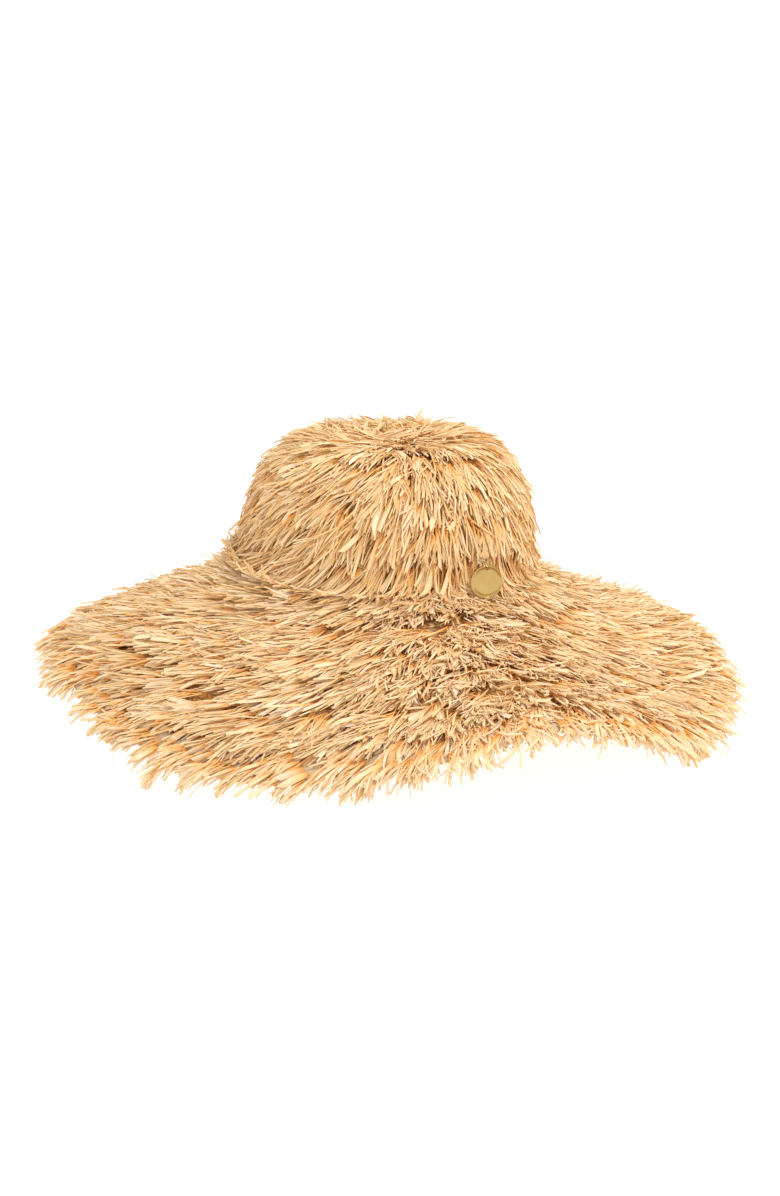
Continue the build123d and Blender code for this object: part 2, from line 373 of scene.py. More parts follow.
# painted shade in the grooves between blades
GROOVE_SHADE_TONES = ((0.0, (0.35, 0.27, 0.2)), (0.35, (0.95, 0.93, 0.9)), (1.0, (1.0, 1.0, 1.0)))
FIBRE_TONES = ((0.3, (0.85, 0.82, 0.78)), (0.7, (1.0, 1.0, 1.0)))
FIBRE_SCALE = 900


def plait_material():
    """Flat herringbone plaits of straw, sewn side by side, with painted shade in the grooves between blades
    and a tone set dark as painted shade, since they show only in the shaded gaps between strands: the plait
    map is in metres.
    """
    material, shader = new_material("plaited_straw")
    across, along, _ = split(material, uv_of(material, "plait"))
    turns = math_node(material, "DIVIDE", across, PLAIT_WIDTH)
    from_middle = math_node(material, "SUBTRACT", math_node(material, "FRACT", turns), 0.5)
    inside = math_node(material, "ABSOLUTE", from_middle)
    stitches = math_node(material, "DIVIDE", along, PLAIT_STITCH)
    slant = math_node(material, "ADD", stitches, math_node(material, "MULTIPLY", inside, PLAIT_SLANT))
    blade = math_node(material, "FRACT", slant)
    plait_number = math_node(material, "MULTIPLY", math_node(material, "FLOOR", turns), NUMBER_STEP)
    blade_number = math_node(material, "ADD", math_node(material, "FLOOR", slant), plait_number)
    own = add_node(material, "ShaderNodeTexWhiteNoise", noise_dimensions="1D")
    link(material, blade_number, own.inputs["W"])
    rounded = math_node(material, "SINE", math_node(material, "MULTIPLY", blade, math.pi))
    tone = ramp_node(material, own.outputs["Value"], PLAIT_STRAW_AND_SHADE_TONES)
    groove_shade = ramp_node(material, rounded, GROOVE_SHADE_TONES)
    fibres = noise_node(material, object_place(material), FIBRE_SCALE, detail=3.0)
    fibre_tone = ramp_node(material, fibres, FIBRE_TONES)
    colour = multiply(material, multiply(material, tone, groove_shade), fibre_tone)
    link(material, colour, shader.inputs["Base Color"])
    bump(material, shader, rounded, strength=0.8, distance=0.5 * MM)
    shader.inputs["Roughness"].default_value = 0.6
    shader.inputs["Specular IOR Level"].default_value = 0.3
    return material


YARN_GAP_SHADE = 0.6             # painted shade: brightness between a cloth's yarns, beside that on them
WORN_SCALE = 60
WORN_TONES = ((0.3, (0.88, 0.86, 0.83)), (0.7, (1.0, 1.0, 1.0)))


def cloth_material(name, warp, weft, thread, tone):
    """Woven cloth with painted shade between its yarns: its map is in metres, and a yarn is thread wide, times
    warp across and weft along.
    """
    material, shader = new_material(name)
    across, along, _ = split(material, uv_of(material, "weave"))
    over = math_node(material, "SINE", math_node(material, "MULTIPLY", along, math.pi / (thread * weft)))
    under = math_node(material, "SINE", math_node(material, "MULTIPLY", across, math.pi / (thread * warp)))
    weave = math_node(material, "ABSOLUTE", math_node(material, "MULTIPLY", over, under))
    worn = noise_node(material, object_place(material), WORN_SCALE, detail=4.0)
    shade = ramp_node(material, weave, ((0.0, tuple(YARN_GAP_SHADE * c for c in tone)), (0.6, tone)))
    blotch = ramp_node(material, worn, WORN_TONES)
    link(material, multiply(material, shade, blotch), shader.inputs["Base Color"])
    bump(material, shader, weave, strength=0.6, distance=0.25 * MM)
    shader.inputs["Roughness"].default_value = 0.8
    shader.inputs["Sheen Weight"].default_value = 0.25
    shader.inputs["Specular IOR Level"].default_value = 0.25
    return material


TARNISH_SCALE = 90
SMOOTHEST, ROUGHEST = 0.7, 1.5                 # limits of a metal's roughness, as shares of the stated one


def metal_material(name, colour, dark, roughness, brush):
    """Polished metal with fine scratches along one direction, and a little tarnish."""
    material, shader = new_material(name)
    place = object_place(material)
    scratch = noise_node(material, stretch_node(material, place, brush), 1.0, detail=4.0, roughness=0.6)
    tarnish = noise_node(material, place, TARNISH_SCALE, detail=4.0, roughness=0.6)
    tone = ramp_node(material, tarnish, ((0.32, dark), (0.62, colour)))
    rough = add_node(material, "ShaderNodeMapRange")
    rough.inputs["To Min"].default_value = roughness * SMOOTHEST
    rough.inputs["To Max"].default_value = roughness * ROUGHEST
    link(material, scratch, rough.inputs["Value"])
    link(material, tone, shader.inputs["Base Color"])
    link(material, rough.outputs["Result"], shader.inputs["Roughness"])
    bump(material, shader, scratch, strength=0.05, distance=0.03 * MM)
    shader.inputs["Metallic"].default_value = 1.0
    return material


raffia = raffia_material()
plaited_straw = plait_material()
tape_cloth = cloth_material("tape", warp=1.0, weft=1.0, thread=0.45 * MM, tone=(0.88, 0.66, 0.38))
ribbon_cloth = cloth_material("ribbon", warp=0.5, weft=1.6, thread=0.5 * MM, tone=(0.78, 0.68, 0.50))
thread_cloth = cloth_material("thread", warp=0.6, weft=0.6, thread=0.3 * MM, tone=(0.70, 0.52, 0.30))
brass = metal_material(
    "brass", colour=(0.52, 0.35, 0.13), dark=(0.46, 0.30, 0.10), roughness=0.15, brush=(300, 300, 9000)
)
wire_steel = metal_material(
    "spring_steel", colour=(0.62, 0.62, 0.64), dark=(0.42, 0.42, 0.44), roughness=0.35, brush=(900, 900, 900)
)


# ---------------- raffia strands

SIDES = 3
SEGMENTS = 5
EDGE_SHADE = 0.30               # painted shade: how much darker a strand is along its edges, along the palette
UNDER_SHADE = 0.30              # painted shade: how much darker the under face is, along the palette
UV_LOW, UV_HIGH = 0.01, 0.99
TIP_V = 0.98                   # where a strand's tip lies up the UV map
FLOOR_CLEAR = 0.6 * MM
FLOOR_CLEAR_SHARE = 0.3        # and this share of the strand's width
LEAST_TURN_RADIUS = 6 * MM     # keeps strands near the crown's middle from spinning round it
ROOT_WIDTH = 0.6               # width at the root, as a share of the full one
ROOT_REACH = 0.25              # share of the length over which a strand gets its full width
TIP_SHARE = np.linspace(0, 1, SEGMENTS + 1)


def centre_lines(azimuth, distance, heading, bend, length, lift, rise, droop):
    """Points and surface normals along strands that lie on the comb surface, as (strand, ring, 3)."""
    step = length / SEGMENTS
    points, normals = [], []
    for ring in range(SEGMENTS + 1):
        travelled = ring * step
        height = lift + rise * travelled - droop * travelled**2
        normal = sample(NORMALS, azimuth, distance)
        normal /= np.linalg.norm(normal, axis=1, keepdims=True)
        points.append(sample(PLACES, azimuth, distance) + normal * height[:, None])
        normals.append(normal)
        stretch = sample(STRETCH, azimuth, distance)
        distance = distance + step * np.cos(heading) / stretch[:, 0]
        azimuth = azimuth + step * np.sin(heading) / np.maximum(stretch[:, 1], LEAST_TURN_RADIUS)
        heading = heading + bend / SEGMENTS
    return np.stack(points, axis=1), np.stack(normals, axis=1)


def strand_uv(palette, face_shade, edge_shade, root_tone):
    """UVs by corner, with light and shade painted in: each upper face darkens from a painted highlight along
    the ridge to painted shade at its edge, one upper face is painted lighter than the other, and the under
    face is painted darker as shade.
    """
    count = len(palette)
    edge, ridge, under = palette - edge_shade, palette + np.abs(face_shade), palette - UNDER_SHADE
    left = (edge + face_shade, ridge, ridge, edge + face_shade)
    right = (ridge, edge - face_shade, edge - face_shade, ridge)
    u = np.stack([np.stack(face, axis=-1) for face in (left, right, (under, edge, edge, under))], axis=1)
    u = np.broadcast_to(np.clip(u, UV_LOW, UV_HIGH)[:, None], (count, SEGMENTS, SIDES, 4))
    lower, upper = TIP_SHARE[:-1], TIP_SHARE[1:]
    v = root_tone + (TIP_V - root_tone) * np.stack((lower, lower, upper, upper), axis=-1)
    v = np.broadcast_to(v[None, :, None, :], u.shape)
    ends = np.zeros((count, 2, 3, 2))
    ends[..., 0] = palette[:, None, None]
    ends[..., 1] = np.array([root_tone, TIP_V])[None, :, None]
    quads = np.stack((u, v), axis=-1).reshape(-1, 2)
    return np.concatenate((quads, ends[:, 0].reshape(-1, 2), ends[:, 1].reshape(-1, 2)))


def strand_object(name, points, normals, section, uv):
    """Closed three-sided strands: two long faces meet in a fold along the top, as in a folded raffia leaf."""
    width, fold, tip, skew, roll, twist = section
    count = len(points)
    points = points.copy()
    points[..., 2] = np.maximum(points[..., 2], FLOOR_CLEAR + FLOOR_CLEAR_SHARE * width[:, None])
    along = np.gradient(points, axis=1)
    along /= np.linalg.norm(along, axis=-1, keepdims=True)
    side = np.cross(normals, along)
    side /= np.linalg.norm(side, axis=-1, keepdims=True)
    up = np.cross(along, side)
    angle = roll[:, None] + twist[:, None] * TIP_SHARE
    cosine, sine = np.cos(angle)[..., None], np.sin(angle)[..., None]
    across = side * cosine + up * sine
    above = up * cosine - side * sine
    growth = ROOT_WIDTH + (1 - ROOT_WIDTH) * np.clip(TIP_SHARE / ROOT_REACH, 0, 1)
    taper = growth * (1 - (1 - tip[:, None]) * TIP_SHARE**3)
    half = 0.5 * (width[:, None] * taper)[..., None]
    ridge = (fold[:, None] * taper)[..., None]
    cut = np.zeros((count, SEGMENTS + 1, 1))
    cut[:, -1, 0] = skew * width
    corners = np.stack(
        (
            points - across * half - above * ridge / 3 - along * cut,
            points + above * ridge,
            points + across * half - above * ridge / 3 + along * cut,
        ),
        axis=2,
    )
    rings = np.arange(count)[:, None] * (SEGMENTS + 1) * SIDES
    ring = np.arange(SEGMENTS)[:, None] * SIDES
    side_index = np.arange(SIDES)
    a = ring + side_index
    b = ring + (side_index + 1) % SIDES
    quads = np.stack((a, b, b + SIDES, a + SIDES), axis=-1).reshape(1, -1, 4) + rings[:, :, None]
    root = np.array([[2, 1, 0]])[None] + rings[:, :, None]
    end = np.array([[0, 1, 2]])[None] + SEGMENTS * SIDES + rings[:, :, None]
    polygons = [quads.reshape(-1, 4), root.reshape(-1, 3), end.reshape(-1, 3)]
    return mesh_object(name, corners.reshape(-1, 3), polygons, [("OFBake", uv)])


# How the straw was combed: away from a parting a little right of the front. A sweep is the greatest angle
# to the straight way down, and a peak is how far round from the parting it comes.
PARTING = math.radians(-58)
SWEEP_CROWN = math.radians(41)
SWEEP_BRIM = math.radians(45)
SWEEP_RIGHT = math.radians(24)
PEAK_CROWN = math.radians(85)
PEAK_BRIM = math.radians(52)
MESS_WIDTH = math.radians(24)  # how far around from the parting the straw is messy
TAG_AZIMUTH = math.radians(-54)
TAG_WINDOW = math.radians(11)


def turn_from(azimuth, start):
    """Signed angle from start, from -pi to pi."""
    return (azimuth - start + math.pi) % FULL_TURN - math.pi


def combed_heading(azimuth, on_brim):
    """Angle between a strand and the straight way down the hat, where it was combed."""
    turn = turn_from(azimuth, PARTING)
    size = np.abs(turn)
    peak = PEAK_BRIM if on_brim else PEAK_CROWN
    left = SWEEP_BRIM if on_brim else SWEEP_CROWN
    rising = np.sin(np.clip(size / peak, 0, 1) * math.pi / 2)
    falling = np.cos(np.clip((size - peak) / (math.pi - peak), 0, 1) * math.pi / 2)
    return np.sign(turn) * np.where(turn < 0, left, SWEEP_RIGHT) * rising * falling


def row_span(node):
    """Where a fringe row is sewn on and where it ends, as distances from the middle of the crown's top."""
    places = np.array([vertex.co[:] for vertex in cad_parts[node].data.vertices])
    radius, height = np.hypot(places[:, 0], places[:, 1]), places[:, 2]
    if node.startswith("brim"):
        distance = CROWN_LENGTH + radius - CROWN_RADIUS
    else:
        gap = np.hypot(radius[:, None] - outline_radius, height[:, None] - outline_height)
        distance = (gap.argmin(axis=1) + 1) * GRID_STEP
    return distance.min(), distance.max()


STRANDS_PER_METRE = 3300
CLUMPED_SHARE = 0.8            # of the strands, and the others are loose
HAIR_SHARE = 0.05              # of the strands are thin hairs
LEAF_SHARE = 0.05              # of the strands are broad leaves
STRAY_SHARE = 0.015            # of the strands stand off
POINTED_SHARE = 0.06           # of the tips are pointed, and the others are blunt

# Clumps: their place, heading, height, length and colour
CLUMP_SPACING = 8 * MM
CLUMPS_PER_SPACING = 3
CLUMP_SWING = math.radians(15)
CLUMP_LIFT = 3.4 * MM
CLUMP_LENGTH = (0.8, 1.14)
CLUMP_TONE = 0.07
CLUMP_WIDTH = 2.6 * MM
CLUMP_WIDTH_EDGE = 2.3 * MM
CLUMP_PINCH = 0.45             # how much a clump's strands run together towards its tip

# Strands: their root, heading, length, height and bend
ROOT_SCATTER = 1.2 * MM
LEAST_DISTANCE = 4 * MM        # from the middle of the crown's top
STRAND_SWING = math.radians(6)
STRAND_LENGTH = (0.72, 1.08)
BASE_LIFT = 0.8 * MM
LOOSE_LIFT = 4 * MM
STRAND_LIFT = 1.2 * MM
RISE_BRIM = 0.16
RISE_CROWN = 0.22
RISE_SPREAD = 0.08
RISE_STRAY = (0.10, 0.35)
RISE_NEAR_TAG = 0.2            # greatest rise near the tag, so that it stays in front
BEND = math.radians(7)
BEND_EDGE = math.radians(14)
DROOP = 1.6                    # fall in metres, per square metre of the way along a strand
DROOP_EDGE = (6.0, 20.0)

# What the parting adds, at its middle
CROWN_MESS = 0.3               # how messy it is on the crown, beside the brim
PARTING_TOUSLE = 2.4
PARTING_SHORTER = 0.35
PARTING_RISE = 0.17
PARTING_STRAYS = 2
PARTING_BEND = 5
PARTING_LONGER_EDGE = 0.5

# The edge row: its dip, its strands' width, and its ragged length as (amount, waves, phase)
EDGE_DIP = 0.08
EDGE_WIDENING = 1.3
EDGE_RAGGED = ((0.05, 9, 1.0), (0.06, 17, 4.0), (0.06, 31, 2.0))

# Sections: widths, the height of the fold as a share of the width, tips, and turns about the strand
WIDTH = 1.25 * MM
WIDTH_SPREAD = 0.3
WIDTH_LIMITS = (0.6 * MM, 2.8 * MM)
HAIR_WIDTH_MM = (0.4, 0.65)
LEAF_WIDTH_MM = (2.4, 4.2)
FOLD = (0.22, 0.5)
POINTED_TIP = (0.2, 0.5)
BLUNT_TIP = (0.85, 1.1)
SKEW = 0.6
SKEW_LIMIT = 1.2
ROLL = math.radians(26)
TWIST = math.radians(40)
# leaves fold, roll and twist less than other strands, and carry less of the painted edge shade
LEAF_FOLD, LEAF_ROLL, LEAF_TWIST, LEAF_EDGE_SHADE = 0.5, 0.5, 0.4, 0.4

# Colours, along the palette. The crown's middle tone lies lower than the brim's as painted shade, to even out
# the key light, which falls more strongly on the crown's front.
MIDDLE_EDGE, MIDDLE_BRIM, MIDDLE_CROWN = 0.70, 0.64, 0.53
STRAND_TONE = 0.12
# painted light and shade: spread of how much lighter one upper face is than the other
FACE_SHADE_CONTRAST = 0.12
PALETTE_LIMITS = (0.01, 0.98)


def strand_sections(rng, count, edge):
    """Which strands are leaves, and every strand's width, fold, tip, skewed cut, roll and twist."""
    width = np.clip(rng.lognormal(math.log(WIDTH), WIDTH_SPREAD, count), *WIDTH_LIMITS)
    kind = rng.random(count)
    width = np.where(kind < HAIR_SHARE, rng.uniform(*HAIR_WIDTH_MM, count) * MM, width)
    leaf = kind > 1 - LEAF_SHARE
    width = np.where(leaf, rng.uniform(*LEAF_WIDTH_MM, count) * MM, width)
    if edge:
        width = EDGE_WIDENING * width
    fold = width * rng.uniform(*FOLD, count) * np.where(leaf, LEAF_FOLD, 1.0)
    pointed = rng.random(count) < POINTED_SHARE
    tip = np.where(pointed, rng.uniform(*POINTED_TIP, count), rng.uniform(*BLUNT_TIP, count))
    skew = np.clip(rng.normal(0, SKEW, count), -SKEW_LIMIT, SKEW_LIMIT)
    roll = rng.normal(0, ROLL, count) * np.where(leaf, LEAF_ROLL, 1.0)
    twist = rng.normal(0, TWIST, count) * np.where(leaf, LEAF_TWIST, 1.0)
    return leaf, (width, fold, tip, skew, roll, twist)


def fringe_row(
    node, seed, density=1.0, spread=9 * MM, shift=0.0, length=27 * MM, flare=0.0, tousle=1.0, root_tone=0.02,
    edge=False,
):
    """One sewn row of raffia, in place of its CAD ring."""
    rng = np.random.default_rng(seed)
    on_brim = node.startswith("brim")
    start = row_span(node)[0] + shift
    radius = float(sample(grid_radius[..., None], np.zeros(1), np.array([start]))[0, 0])
    around = FULL_TURN * radius
    count = int(STRANDS_PER_METRE * density * around)

    clumps = int(around / CLUMP_SPACING) * CLUMPS_PER_SPACING
    clump_azimuth = rng.uniform(0, FULL_TURN, clumps)
    clump_heading = rng.normal(0, CLUMP_SWING, clumps) * tousle
    clump_lift = rng.uniform(0, CLUMP_LIFT, clumps)
    clump_start = rng.uniform(-0.5, 0.5, clumps) * spread
    clump_length = rng.uniform(*CLUMP_LENGTH, clumps)
    clump_tone = rng.normal(0, CLUMP_TONE, clumps)
    own = rng.integers(0, clumps, count)
    loose = rng.random(count) > CLUMPED_SHARE
    offset = rng.normal(0, CLUMP_WIDTH_EDGE if edge else CLUMP_WIDTH, count)
    azimuth = np.where(loose, rng.uniform(0, FULL_TURN, count), clump_azimuth[own] + offset / radius)

    mess = 1.0 if on_brim else CROWN_MESS
    near_parting = np.exp(-((turn_from(azimuth, PARTING) / MESS_WIDTH) ** 2)) * mess
    wild = tousle + PARTING_TOUSLE * near_parting
    heading = combed_heading(azimuth, on_brim) + np.where(loose, 0, clump_heading[own]) * (1 + near_parting)
    heading = heading + rng.normal(0, STRAND_SWING, count) * wild
    heading = heading - np.where(loose, 0, CLUMP_PINCH * offset / length)
    distance = start + np.where(loose, rng.uniform(-0.5, 0.5, count) * spread, clump_start[own])
    distance = np.maximum(distance + rng.normal(0, ROOT_SCATTER, count), LEAST_DISTANCE)
    size = length * clump_length[own] * rng.uniform(*STRAND_LENGTH, count)
    size = size * (1 - PARTING_SHORTER * near_parting)
    lift = BASE_LIFT + np.where(loose, rng.uniform(0, LOOSE_LIFT, count), clump_lift[own])
    lift = lift + rng.uniform(0, STRAND_LIFT, count)

    rise = rng.normal(RISE_BRIM if on_brim else RISE_CROWN, RISE_SPREAD, count) + PARTING_RISE * near_parting
    rise = rise + flare * np.clip(-np.cos(azimuth), 0, 1)
    stray = rng.random(count) < STRAY_SHARE * (1 + PARTING_STRAYS * near_parting)
    rise = rise + np.where(stray, rng.uniform(*RISE_STRAY, count), 0)
    droop = np.full(count, DROOP)
    if edge:
        rise = rise - EDGE_DIP - PARTING_RISE * near_parting
        droop = rng.uniform(*DROOP_EDGE, count)
        ragged = sum(amount * np.sin(waves * azimuth + phase) for amount, waves, phase in EDGE_RAGGED)
        size = size * (1 + ragged + PARTING_LONGER_EDGE * near_parting)
    near_tag = np.abs(turn_from(azimuth, TAG_AZIMUTH)) < TAG_WINDOW
    if not on_brim:
        rise = np.where(near_tag, np.minimum(rise, RISE_NEAR_TAG), rise)
    bend = rng.normal(0, BEND_EDGE if edge else BEND, count) * (1 + PARTING_BEND * near_parting)

    leaf, section = strand_sections(rng, count, edge)
    middle = MIDDLE_EDGE if edge else MIDDLE_BRIM if on_brim else MIDDLE_CROWN
    tone = middle + np.where(loose, 0, clump_tone[own]) + rng.normal(0, STRAND_TONE, count)
    palette = np.clip(tone, *PALETTE_LIMITS)
    # painted light and shade: one upper face lighter and the other darker, and painted shade along the edges
    face_shade = rng.normal(0, FACE_SHADE_CONTRAST, count)
    edge_shade = np.where(leaf, LEAF_EDGE_SHADE, 1.0) * EDGE_SHADE
    points, normals = centre_lines(azimuth, distance, heading, bend, size, lift, rise, droop)
    uv = strand_uv(palette, face_shade, edge_shade, root_tone)
    obj = strand_object(node.replace("fringe", "raffia"), points, normals, section, uv)
    return declare(obj, raffia, HAT, "raffia_fringe", node)


def crown_row(number, **settings):
    """A fringe row of the crown, counted from its top."""
    fringe_row(f"crown_fringe_row_{number}", seed=100 + number, **settings)


def brim_row(number, **settings):
    """A fringe row of the brim, counted from the crown."""
    fringe_row(f"brim_fringe_row_{number}", seed=200 + number, **settings)


# the first two rows start part way up the painted root shade, so the middle of the crown's top isn't darkened
# by it
crown_row(1, density=2.2, spread=20 * MM, length=24 * MM, tousle=4.5, root_tone=0.35)
crown_row(2, density=1.8, spread=16 * MM, length=25 * MM, tousle=2.2, root_tone=0.3)
for number in range(3, 6):
    crown_row(number, density=1.3, spread=15 * MM, length=24 * MM)
crown_row(6, density=1.3, spread=15 * MM, flare=0.16, length=28 * MM)
crown_row(7, density=1.9, spread=26 * MM, flare=0.42, shift=7 * MM, length=34 * MM)
brim_row(1, density=1.9, spread=24 * MM, flare=0.2, shift=-9 * MM, length=29 * MM)
for number in range(2, 5):
    brim_row(number, density=1.2, spread=17 * MM, length=27 * MM)
brim_row(5, density=1.4, spread=22 * MM, shift=5 * MM, length=30 * MM)
brim_row(6, density=1.3, spread=28 * MM, shift=8 * MM, length=22 * MM, edge=True)


# ---------------- plaited panels

PLAIT_DEPTH = 0.5 * MM         # how deep the seams between plaits are
PLAIT_STEPS = 6                # mesh rows across one plait
PLAIT_SINK = 0.1 * MM          # how far a plait's ridge lies under the panel's face
PLAIT_EYE = 3 * MM             # radius of the opening where the top panel's plait starts
PANEL_GAP = 0.2 * MM           # between the top panel and the side panel
STRAW_THICKNESS = 2.2 * MM


def plaited_panel(name, radius, height, thickness, first):
    """Shell between an upper outline (azimuth, stop) and one a thickness below it, ridged with plaits."""
    place = np.stack((*ring_xy(radius, AZIMUTHS), height), axis=-1)
    forward = np.gradient(place, axis=1)
    around = np.roll(place, -1, axis=0) - np.roll(place, 1, axis=0)
    normal = np.cross(forward, around)
    length = np.maximum(np.linalg.norm(normal, axis=-1, keepdims=True), 1e-12)
    normal = np.where(length > 1e-9, normal / length, (0, 0, 1))
    run = first + np.concatenate(([0], np.cumsum(np.linalg.norm(np.diff(place[0], axis=0), axis=-1))))
    ridge = np.sqrt(np.abs(np.sin(math.pi * run / PLAIT_WIDTH)))[None, :, None]
    inset = PLAIT_SINK + PLAIT_DEPTH * (1 - ridge)
    upper = place - normal * inset
    lower = place - normal * (thickness - inset)
    rows = np.concatenate((upper, lower[:, ::-1]), axis=1)
    count = rows.shape[1]
    middle = (np.floor(run / PLAIT_WIDTH) + 0.5) * PLAIT_WIDTH
    plait_radius = np.interp(middle, run, radius[0])
    along = AZIMUTHS[:, None] * plait_radius[None, :]
    across = np.broadcast_to(run[None, :], along.shape)
    plait_map = np.stack((across, along), axis=-1)
    uv = np.concatenate((plait_map, plait_map[:, ::-1]), axis=1)
    quads = grid_quads(AZIMUTH_COUNT, count, closed_rows=True, closed_columns=True)
    return mesh_object(name, rows.reshape(-1, 3), [quads], [("plait", uv.reshape(-1, 2))], smooth=True)


def panel_stops(length):
    """Evenly spaced stops that follow the plaits."""
    return np.linspace(0, length, int(length / PLAIT_WIDTH * PLAIT_STEPS))


tip_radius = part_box("crown_tip_panel")[1].x
outline_run = np.concatenate(([0], (np.arange(CROWN_STEPS) + 1) * GRID_STEP))
outline_r = np.concatenate(([0], outline_radius))
outline_z = np.concatenate((outline_height[:1], outline_height))
tip_run = float(np.interp(tip_radius, outline_r, outline_run))


def crown_panel(node, start, end):
    """Part of the crown between two distances along its outline, in place of its CAD node."""
    stops = start + panel_stops(end - start)
    radius = np.repeat(np.interp(stops, outline_run, outline_r)[None], AZIMUTH_COUNT, axis=0)
    height = np.repeat(np.interp(stops, outline_run, outline_z)[None], AZIMUTH_COUNT, axis=0)
    obj = plaited_panel(node.replace("panel", "plaits"), radius, height, STRAW_THICKNESS, start)
    return declare(obj, plaited_straw, HAT, "woven_straw", node)


crown_panel("crown_tip_panel", PLAIT_EYE, tip_run)
crown_panel("crown_side_panel", tip_run + PANEL_GAP, CROWN_LENGTH)

brim_stops = panel_stops(PANEL_RADIUS - CROWN_RADIUS)
brim_stop_radii = CROWN_RADIUS + brim_stops
known_radii = np.concatenate(([CROWN_RADIUS], brim_radii))
brim_radius_grid = np.repeat(brim_stop_radii[None], AZIMUTH_COUNT, axis=0)
brim_height_grid = np.stack([
    np.interp(brim_stop_radii, known_radii, np.concatenate(([BRIM_HEIGHT], heights)))
    for heights in panel_heights
])
brim = plaited_panel("brim_plaits", brim_radius_grid, brim_height_grid, STRAW_THICKNESS, CROWN_LENGTH)
declare(brim, plaited_straw, HAT, "woven_straw", "brim_panel")

# ---------------- hem

TAPE_HALF = 0.32 * MM
TAPE_LINE = (                  # (outward, up) in mm from the panel's upper edge
    (-11.9, 0.6), (-9, 0.6), (-6, 0.6), (-3, 0.6), (0, 0.6), (1.5, 0.5), (2.2, -0.1), (2.4, -1.1), (2.2, -2.1),
    (1.5, -2.7), (0, -2.8), (-3, -2.8), (-6, -2.8), (-9, -2.8), (-11.9, -2.8),
)


def hem_tape():
    """Tape folded over the hem, in place of its CAD node."""
    line = np.array(TAPE_LINE) * MM
    direction = np.gradient(line, axis=0)
    direction /= np.linalg.norm(direction, axis=1, keepdims=True)
    aside = np.stack((-direction[:, 1], direction[:, 0]), axis=1) * TAPE_HALF
    section = np.concatenate((line + aside, (line - aside)[::-1]))
    run = np.concatenate(([0], np.cumsum(np.linalg.norm(np.diff(line, axis=0), axis=1))))
    run = np.concatenate((run, run[::-1]))
    radius = PANEL_RADIUS + section[:, 0]
    steps = (radius - brim_radii[-1]) / GRID_STEP
    heights = panel_heights[:, -1:] + edge_fall[:, None] * steps[None, :] + section[None, :, 1]
    place = np.stack((*ring_xy(radius[None], AZIMUTHS), heights), axis=-1)
    uv = np.stack(np.broadcast_arrays(run[None, :], AZIMUTHS[:, None] * PANEL_RADIUS), axis=-1)
    quads = grid_quads(AZIMUTH_COUNT, len(section), closed_rows=True, closed_columns=True)
    obj = mesh_object("hem_tape", place.reshape(-1, 3), [quads], [("weave", uv.reshape(-1, 2))], smooth=True)
    return declare(obj, tape_cloth, HAT, "edge_tape", "brim_edge_binding")


tape = hem_tape()
wire_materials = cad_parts["brim_edge_wire"].data.materials
wire_materials.clear()
wire_materials.append(wire_steel)

# ---------------- sweatband

RIBS = 560
RIB_DEPTH = 0.12 * MM
RIBBED_ROWS = (1, 0, 1, 1, 1, 1, 1, 0, 1)      # from the band's foot up: two plain lines near its edges
BAND_THICKNESS = 0.9 * MM
BAND_CLEAR = 0.05 * MM         # off the panel behind it


def ribbon_band():
    """Ribbed ribbon around the head opening, in place of its CAD node."""
    inner, outer = band_high.x - BAND_THICKNESS + RIB_DEPTH, band_high.x - BAND_CLEAR
    columns = 2 * RIBS
    turn = np.arange(columns) * FULL_TURN / columns
    rib = RIB_DEPTH * np.where(np.arange(columns) % 2, 1.0, -1.0)
    heights = np.linspace(band_low.z, band_high.z, len(RIBBED_ROWS))
    inside = inner + rib[:, None] * np.array(RIBBED_ROWS)[None, :]
    outside = np.full((columns, len(heights)), outer)
    radius = np.concatenate((inside, outside[:, ::-1]), axis=1)
    height = np.concatenate((heights, heights[::-1]))[None, :].repeat(columns, axis=0)
    place = np.stack((*ring_xy(radius, turn), height), axis=-1).reshape(-1, 3)
    uv = np.stack((height, np.broadcast_to(turn[:, None] * inner, height.shape)), axis=-1).reshape(-1, 2)
    quads = grid_quads(columns, radius.shape[1], closed_rows=True, closed_columns=True)[:, ::-1]
    obj = mesh_object("sweatband_ribbon", place, [quads], [("weave", uv)], smooth=True)
    return declare(obj, ribbon_cloth, HAT, "ribbon", "sweatband")


ribbon = ribbon_band()

# ---------------- tag

disc_low, disc_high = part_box("tag_disc")
ring_low, ring_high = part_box("tag_ring")
UP = Vector((0, 0, 1))
RING_WIRE = 0.5 * MM           # radius of the ring's wire in the CAD


def turned_axes(node):
    """Middle of a CAD node, and the directions sideways, up and out of the flat way that it lies."""
    places = np.array([vertex.co[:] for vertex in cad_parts[node].data.vertices])
    middle = (places.min(axis=0) + places.max(axis=0)) / 2
    flat = (places - middle)[:, :2]
    _, vectors = np.linalg.eigh(flat.T @ flat)
    sideways = Vector((*vectors[:, 1], 0))
    outward = sideways.cross(UP)
    if outward.dot(Vector(middle)) < 0:
        sideways, outward = -sideways, -outward
    return Vector(middle), sideways, outward


TAG_MIDDLE, TAG_SIDE, TAG_OUT = turned_axes("tag_disc")
TAG_RADIUS = (disc_high.z - disc_low.z) / 2
RING_RADIUS = (ring_high.z - ring_low.z) / 2 - RING_WIRE
RING_MIDDLE = (ring_low + ring_high) / 2

